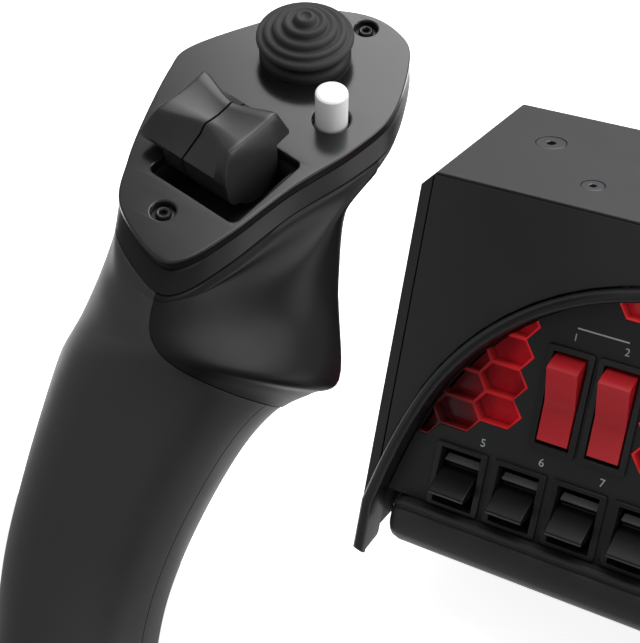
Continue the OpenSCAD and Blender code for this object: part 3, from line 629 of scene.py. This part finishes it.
AT_HAT = HEAD @ Matrix.Translation((*HAT_POS, 0))
hat_profile = [
    (0, 5.2), (3, 5.1), (8.4, 4.5), (10.0, 4.2), (10.7, 4.4), (11.0, 5.0), (10.9, 5.6), (10.4, 6.0),
    (9.7, 6.0), (9.3, 6.2), (9.25, 6.7), (9.0, 7.1), (8.4, 7.25), (7.7, 7.1), (7.3, 7.2), (7.2, 7.8),
    (6.95, 8.3), (6.3, 8.55), (5.5, 8.4), (5.0, 8.5), (4.9, 9.1), (4.65, 9.7), (4.0, 9.9), (3.2, 9.6),
    (2.7, 9.7), (2.45, 10.3), (2.1, 10.9), (1.5, 11.1), (0.9, 10.7), (0, 10.5),
]
hat_curve = open_spline([(r, h, 0) for r, h in hat_profile], 3)
hat = lathe("hat_cap", [(p.x, p.y) for p in hat_curve], AT_HAT, 96, 60)
place_on(hat, "hat_switch", rubber)
stem = lathe("hat_stem", [(1.8, -3.8), (1.8, 5.4)], AT_HAT, 32)
place_on(stem, [], deep, nodes["hat_switch"]["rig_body"])
boot_profile = [
    (2.6, -0.4), (6.2, -0.4), (6.2, 0.05), (10.4, 0.05), (10.4, 1.3), (9.9, 2.1), (9.0, 2.5),
    (7.6, 2.8), (6.2, 3.1), (5.4, 3.2), (4.6, 3.0), (4.2, 2.4), (2.6, 0),
]
boot = lathe("hat_boot", boot_profile, AT_HAT, 96, 60)
place_on(boot, "hat_housing", deep)


def push_button(name, rise):
    """A plain round button that stands out of the plate by rise, with a flange below it."""
    r, flange_r, foot, flange_top = 3.6, 5.1, -6.5, -4.5
    profile = [(0, foot), (flange_r, foot), (flange_r, flange_top), (r, flange_top), (r, rise - 0.6),
               (r - 0.12, rise - 0.25), (r - 0.45, rise - 0.04), (r - 0.9, rise), (0, rise)]
    return lathe(name, profile, HEAD @ Matrix.Translation((*BUTTON_POS, 0)), 64)


place_on(push_button("white_button", 8), "left_button", white)
place_on(mirrored(push_button("red_button", 5)), "right_button", red)

# The axis that the left trims turn on
TRIM = (HEAD @ Matrix.Translation((*SLOT_POS, -1.5)) @ Matrix.Rotation(rad(SLOT_TURN), 4, "Z")
        @ Matrix.Translation((-5.8, 3.2, 0)))


def trim_rocker(name, side, width):
    """A skirted saddle for the thumb, low at the split, over a drum of this width in the slot."""
    full, split, drum = 12, 0.2, 6.5
    rings = []
    cuts = sorted([full * i / 24 for i in range(25)] + ([width, width + 0.02] if width < full else []))
    under = [(6.4, 4.5), (drum, 0)]
    under += [(drum * math.cos(rad(a)), -drum * math.sin(rad(a))) for a in range(18, 155, 12)]
    under += [(-7.6, -2.6), (-8.9, -0.8), (-9.5, 1.0)]
    for foot in cuts:
        u = foot / full
        swell = u ** 1.7 * (2 - u)
        head = 10.2 * u
        front, back = -2.6 - 3.9 * swell, 6.2 + 2.6 * swell
        high = 9.9 + 1.2 * swell - (0.6 * ((u - 0.92) / 0.08) ** 2 if u > 0.92 else 0)
        section = []
        flank = (foot + 3 * head) / 4
        for y, z, x in ((-9.8, 4.4, foot), (-9.9, 5.4, foot), (front - 1.3, high - 1.6, flank),
                        (front - 0.4, high - 0.45, head), (front + 0.5, high, head),
                        (front * 0.4 + 0.6, high - 0.3, head), (1.6, high - 0.5, head),
                        (back * 0.6 + 0.6, high - 0.3, head), (back - 0.6, high, head),
                        (back + 0.3, high - 0.5, head), (back + 0.9, high - 2.2, flank),
                        (10.3, 6.0, foot), (10.4, 4.9, foot)):
            section.append((side * (split + x), y, z))
        for y, z in under:
            section.append((side * (split + foot), y, z if foot <= width else 3.6 + 0.06 * abs(y)))
        rings.append(section)
    return rounded(skin(name, rings, TRIM, 50), 0.35, 3, 45)


for hand in ("left", "right"):
    for part, side, width in (("outer", -1, 5.4), ("inner", 1, 12.0)):
        node = f"{hand}_trim_{part}"
        rocker = trim_rocker(node + "_thumb", side, width)
        if hand == "right":
            mirrored(rocker, 50)
        place_on(rocker, node, thumb)


def slot_well(name):
    """A near-black tray under the slot that paints the shade in its depth, so that nothing behind it shows.
    """
    well = prism(name, round_rect(*SLOT_POS, 25.4, 23, 1.8, SLOT_TURN), -10.6, -3.0, HEAD)
    return cut(well, prism("inside", round_rect(*SLOT_POS, 24.4, 22, 1.5, SLOT_TURN), -9.9, 2, HEAD))


def plate_screw(name, x, y):
    """A socket screw deep in a dark recess."""
    at = HEAD @ Matrix.Translation((x, y, 0))
    profile = [(0, -2.2), (2.55, -2.2), (2.55, -1.5), (1.75, -1.45), (1.6, -0.75), (1.35, -0.5), (0, -0.5)]
    ob = lathe(name, profile, at, 48)
    return cut(ob, rod("socket", 0, 0, 0.95, -1.6, 1, at, 6))


for i, (x, y) in enumerate(SCREWS):
    for hand in ("left", "right"):
        ob = plate_screw(f"{hand}_plate_screw_{i + 1}", x, y)
        if hand == "right":
            mirrored(ob)
        place_on(ob, "plate_screws", screw_black)
# Near-black trays under both slots, standing in for the shade in them
place_on(slot_well("slot_well"), [], deep, "yoke")
place_on(mirrored(slot_well("right_slot_well")), [], deep, "yoke")


# ---------- arch bezel ----------

# The radii of the arch's three arcs, and the degrees from its middle where each ends
CROWN_R, SHOULDER_R, LEG_R = 190, 76, 160
CROWN_END, SHOULDER_END, LEG_END = 17, 68, 76


def on_arc(c, r, a):
    return Vector((c[0] - r * math.sin(rad(a)), c[1] + r * math.cos(rad(a))))


def towards(a):
    return Vector((-math.sin(rad(a)), math.cos(rad(a))))


def half_arch(inset):
    """The left half of the arch's line, from the middle to the foot's tip, so far inside its outer edge."""
    crown_c = Vector((0, -9 - CROWN_R))
    shoulder_c = crown_c + (CROWN_R - SHOULDER_R) * towards(CROWN_END)
    leg_c = shoulder_c + (SHOULDER_R - LEG_R) * towards(SHOULDER_END)
    pts = [on_arc(crown_c, CROWN_R - inset, a) for a in (0.5, 3, 6, 9, 12, 14.5, 17)]
    pts += [on_arc(shoulder_c, SHOULDER_R - inset, a) for a in range(CROWN_END + 3, SHOULDER_END + 1, 3)]
    pts += [on_arc(leg_c, LEG_R - inset, a) for a in (70, 72, 74, 76)]
    knee = pts[-1] - 11 * Vector((math.cos(rad(LEG_END)), math.sin(rad(LEG_END))))
    # The foot turns from the leg's slope to straight down
    pts += [knee + Vector((0, -d)) for d in (0, 8, 10.5, 11.5, 12.5, 13.5, 14.2, 14.7, 15)]
    return pts


def arch_bezel():
    """A rounded band along the arch; its feet are cut back at a slant and rounded."""
    profile = [(0, -6), (0, 1.6), (0.25, 2.3), (0.75, 2.8), (1.4, 3.0), (2.1, 3.0), (2.75, 2.8), (3.25, 2.3),
               (3.5, 1.6), (3.5, -6)]
    foot_y, slant = -105.5, 2.3
    cols = []
    for inset, z in profile:
        h = half_arch(inset)
        cols.append([Vector((-p.x, p.y)) for p in reversed(h)] + h)
    n = len(cols[0])
    rings = []
    for i in range(n):
        drop = {0: 1.6, 1: 0.5}.get(min(i, n - 1 - i), 0)
        ring = []
        for k, (inset, z) in enumerate(profile):
            y = cols[k][i].y
            floor = -6 if y > foot_y else min(-6 + (foot_y - y) * slant, 0.6)
            ring.append((cols[k][i].x, y, max(min(z, 3.0 - drop), floor)))
        rings.append(ring)
    return skin("arch_band", rings, FACE, 50)


place_on(arch_bezel(), "arch_bezel", bezel)


def chin_bar():
    """A long bar under the panel with soft edges and rounded ends."""
    low, high, half = -103.5, -90.7, 105.8
    section = [(high, -10), (high, -0.7), (high - 0.3, -0.1), (high - 0.8, 0.1), (high - 1.4, 0),
               (high - 1.9, -0.7), (high - 2.5, -0.7), (high - 2.9, 0), (high - 3.5, 0.35), (low + 5.5, 0.4),
               (low + 3.2, 0.1), (low + 1.5, -0.8), (low + 0.4, -2.3), (low, -4.2), (low + 0.3, -6.2),
               (low + 1.2, -10)]
    mid_y, mid_z = (low + high) / 2, -6
    ends = [(-half + 4 * (1 - math.cos(rad(a))), 1 - 0.6 * (1 - math.sin(rad(a))))
            for a in (0, 12, 25, 40, 60, 90)]
    rings = [[(x, mid_y + (y - mid_y) * k, mid_z + (z - mid_z) * k) for y, z in section]
             for x, k in ends + [(-x, k) for x, k in reversed(ends)]]
    return skin("chin", rings, FACE, 50)


place_on(chin_bar(), "chin_bar", shell)


# ---------- the rest of the housing, softened from the CAD nodes ----------

for node, width, mat, slot in (
    ("main_cover", 0.7, shell, "matte_black"), ("rear_panel", 0.4, shell, "matte_black"),
    ("front_fascia", 0.3, shell, "matte_black"), ("switch_bezels", 0.3, bezel, "bezel_black"),
    ("shaft_collar", 0.8, bezel, "bezel_black"), ("yoke_hub", 1.0, grip, "grip_black"),
    ("hub_cover", 1.0, gloss, "gloss_black"), ("cover_screws", 0.25, blackened, None),
    ("left_ptt_bezel", 0.5, bezel, "bezel_black"),
    ("left_ptt_button", 0.8, switch_black, "switch_black"),
    ("ignition_knob", 0.7, switch_black, "switch_black"),
    ("rudder_rocker", 0.6, thumb, "switch_black"), ("base_frame", 0.8, shell, "matte_black"),
    ("alternator_rocker", 0.45, red, "switch_red"), ("battery_rocker", 0.45, red, "switch_red"),
    ("avionics_rocker_a", 0.45, switch_black, "switch_black"),
    ("avionics_rocker_b", 0.45, switch_black, "switch_black"),
    # The paddles take the darker black that paints their shade
    *((name + "_paddle", 0.4, paddle_black, "switch_black") for name in PADDLES),
):
    place_on(softened(node, width), node, mat)


# ---------- CAD nodes shown as they are ----------

for node, mat in (
    ("switch_panel", panel),
    ("side_grilles", grille), ("centre_grille", grille), ("light_diffusers", diffuser),
    ("switch_bodies", deep),
    ("rubber_mat", rubber), ("base_plate", casting), ("guide_rods", bright), ("rod_brackets", steel),
    ("main_board", board), ("usb_socket", blackened), ("carriage", casting),
    ("rod_bushes", bronze), ("roll_bearings", bright), ("yoke_shaft", steel), ("hat_gimbal", casting),
):
    nodes[node].data.materials.clear()
    nodes[node].data.materials.append(mat)


# ---------- springs that bring the pitch slide back ----------

def coil_spring(name, x, bracket_y, carriage_y):
    """A wire coil round a guide rod, from the bracket to the carriage."""
    turns, steps, coil_r, wire_r, rod_z = 5, 28, 5.6, 0.45, 44
    low, high = min(bracket_y, carriage_y) + wire_r, max(bracket_y, carriage_y) - wire_r
    rings = []
    for i in range(turns * steps + 1):
        a, y = 2 * math.pi * i / steps, low + (high - low) * i / (turns * steps)
        rings.append([((coil_r + wire_r * math.cos(b)) * math.cos(a) + x, y - wire_r * math.sin(b),
                       (coil_r + wire_r * math.cos(b)) * math.sin(a) + rod_z)
                      for b in [2 * math.pi * j / 10 for j in range(10)]])
    ob = skin(name, rings, None, 50)
    ob.data.materials.append(bright)
    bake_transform(ob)
    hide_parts("pitch_springs")


for side, x in (("left", -30), ("right", 30)):
    coil_spring(side + "_front_spring", x, -51.8, -16.2)
    coil_spring(side + "_rear_spring", x, 33.8, 16.2)


# ---------- painted highlight strips along the paddles' tips ---

for i, name in enumerate(PADDLES):
    place = Matrix.Translation((PADDLE_X + PADDLE_PITCH * i, -81, -15))
    pivot = FACE @ place @ Matrix.Rotation(rad(11.5), 4, "X")
    # A thin strip of painted highlight along each paddle's upper face
    strip = skin(name + "_strip", [[(x, 6.62, 6.3), (x, 5.98, 8.75), (x, 5.5, 8.6), (x, 6.1, 6.2)]
                                   for x in (-5.1, 5.1)], pivot)
    place_on(strip, [], painted_highlight, nodes[name + "_paddle"]["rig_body"])


# ---------- numbers beside the switches ----------

def number(name, text, x, y, size=2.9):
    """A printed numeral on the panel."""
    curve = bpy.data.curves.new(name, "FONT")
    curve.body, curve.size, curve.extrude = text, size * MM, 0.015 * MM
    curve.align_x, curve.align_y = "CENTER", "CENTER"
    ob = bpy.data.objects.new(name + "_text", curve)
    bpy.context.scene.collection.objects.link(ob)
    me = bpy.data.meshes.new_from_object(ob.evaluated_get(bpy.context.evaluated_depsgraph_get()))
    bpy.data.objects.remove(ob)
    move = FACE.copy()
    move.translation = move.translation * MM
    me.transform(move @ Matrix.Translation((x * MM, y * MM, -3.97 * MM)))
    new = bpy.data.objects.new(name, me)
    bpy.context.scene.collection.objects.link(new)
    place_on(new, [], print_grey, "root")


for i, x in enumerate((-65, -51, 51, 65)):
    number(f"number_{i + 1}", str(i + 1), x, -33.6)
for i in range(5):
    number(f"number_{i + 5}", str(i + 5), PADDLE_X + PADDLE_PITCH * i + 5.2, -68.9, 3.2)
for i, x in enumerate((-58, 58)):
    ob = block(f"rocker_pair_line_{i + 1}", x - 7, x + 7, -31.2, -30.8, -3.995, -3.96, FACE)
    place_on(ob, [], print_grey, "root")


# ---------- desk, light and camera ----------

def sheet(name, x, y0, y1):
    """A flat face, x to either side of the middle."""
    return make(name, [(-x, y0, 0), (x, y0, 0), (x, y1, 0), (-x, y1, 0)], [(0, 1, 2, 3)])


def desk():
    """A pale desk that ends under the panel, so that the horns can turn past its edge."""
    mat = finish_material("desk_white", (0.86, 0.86, 0.86), 0.015, 0.55, 0.03, 400, 0.01)
    bsdf = mat.node_tree.nodes["Principled BSDF"]
    bsdf.inputs["Emission Color"].default_value = (1, 1, 1, 1)
    bsdf.inputs["Emission Strength"].default_value = 0.85
    ob = sheet("desk", 3000, -112, 4000)
    ob.data.materials.append(mat)


def softbox(name, place, target, w, h, power):
    """An area light that the camera doesn't see, turned towards its target."""
    light = bpy.data.lights.new(name, "AREA")
    light.shape, light.size, light.size_y, light.energy = "RECTANGLE", w, h, power
    ob = bpy.data.objects.new(name, light)
    ob.location = place
    ob.rotation_mode = "QUATERNION"
    ob.rotation_quaternion = (Vector(target) - Vector(place)).to_track_quat("-Z", "Y")
    bpy.context.scene.collection.objects.link(ob)
    ob.visible_camera = False


def overhead(strength):
    """A large diffuser above the desk, dim along one edge and at full strength a third of a metre in."""
    mat, tree, bsdf = material("overhead_glow")
    coords = add(tree, "ShaderNodeTexCoord")
    apart = add(tree, "ShaderNodeSeparateXYZ")
    ramp = add(tree, "ShaderNodeMapRange", interpolation_type="SMOOTHSTEP")
    ramp.inputs["From Min"].default_value = -0.65
    ramp.inputs["From Max"].default_value = -0.32
    ramp.inputs["To Min"].default_value = strength * 0.1
    ramp.inputs["To Max"].default_value = strength
    tree.links.new(coords.outputs["Object"], apart.inputs["Vector"])
    tree.links.new(apart.outputs["X"], ramp.inputs["Value"])
    bsdf.inputs["Base Color"].default_value = (0, 0, 0, 1)
    bsdf.inputs["Emission Color"].default_value = (1, 1, 1, 1)
    tree.links.new(ramp.outputs["Result"], bsdf.inputs["Emission Strength"])
    ob = sheet("overhead", 650, -800, 800)
    ob.location = (0.04, 0.50, 1.35)
    ob.rotation_euler = (0, 0, math.atan2(0.75, 0.66))
    ob.data.materials.append(mat)
    ob.visible_camera = False
    ob.visible_shadow = False


def surroundings():
    """A mid-grey room that the camera sees as plain white."""
    world = bpy.data.worlds.new("studio")
    bpy.context.scene.world = world
    world.use_nodes = True
    tree = world.node_tree
    back = tree.nodes["Background"]
    back.inputs["Color"].default_value = (0.42, 0.42, 0.43, 1)
    seen = add(tree, "ShaderNodeBackground")
    seen.inputs["Color"].default_value = (1, 1, 1, 1)
    path = add(tree, "ShaderNodeLightPath")
    mix = add(tree, "ShaderNodeMixShader")
    tree.links.new(path.outputs["Is Camera Ray"], mix.inputs["Fac"])
    tree.links.new(back.outputs["Background"], mix.inputs[1])
    tree.links.new(seen.outputs["Background"], mix.inputs[2])
    tree.links.new(mix.outputs["Shader"], tree.nodes["World Output"].inputs["Surface"])


desk()
surroundings()
overhead(4.6)
softbox("rim", (0.75, 0.15, 0.4), (-0.1, -0.17, 0.1), 0.5, 0.6, 3)

# The photo's view: from the front and right, above the head plates
camera = bpy.data.cameras.new("camera")
camera.lens, camera.sensor_width, camera.sensor_fit = 80.9, 36, "AUTO"
camera.clip_start, camera.clip_end = 0.01, 20
eye = bpy.data.objects.new("camera", camera)
eye.location = (0.0442, -0.3756, 0.2849)
eye.rotation_mode = "QUATERNION"
eye.rotation_quaternion = Vector((-0.4484, 0.7316, -0.5135)).to_track_quat("-Z", "Y")
bpy.context.scene.collection.objects.link(eye)
bpy.context.scene.camera = eye
bpy.context.scene.view_settings.view_transform = "Standard"
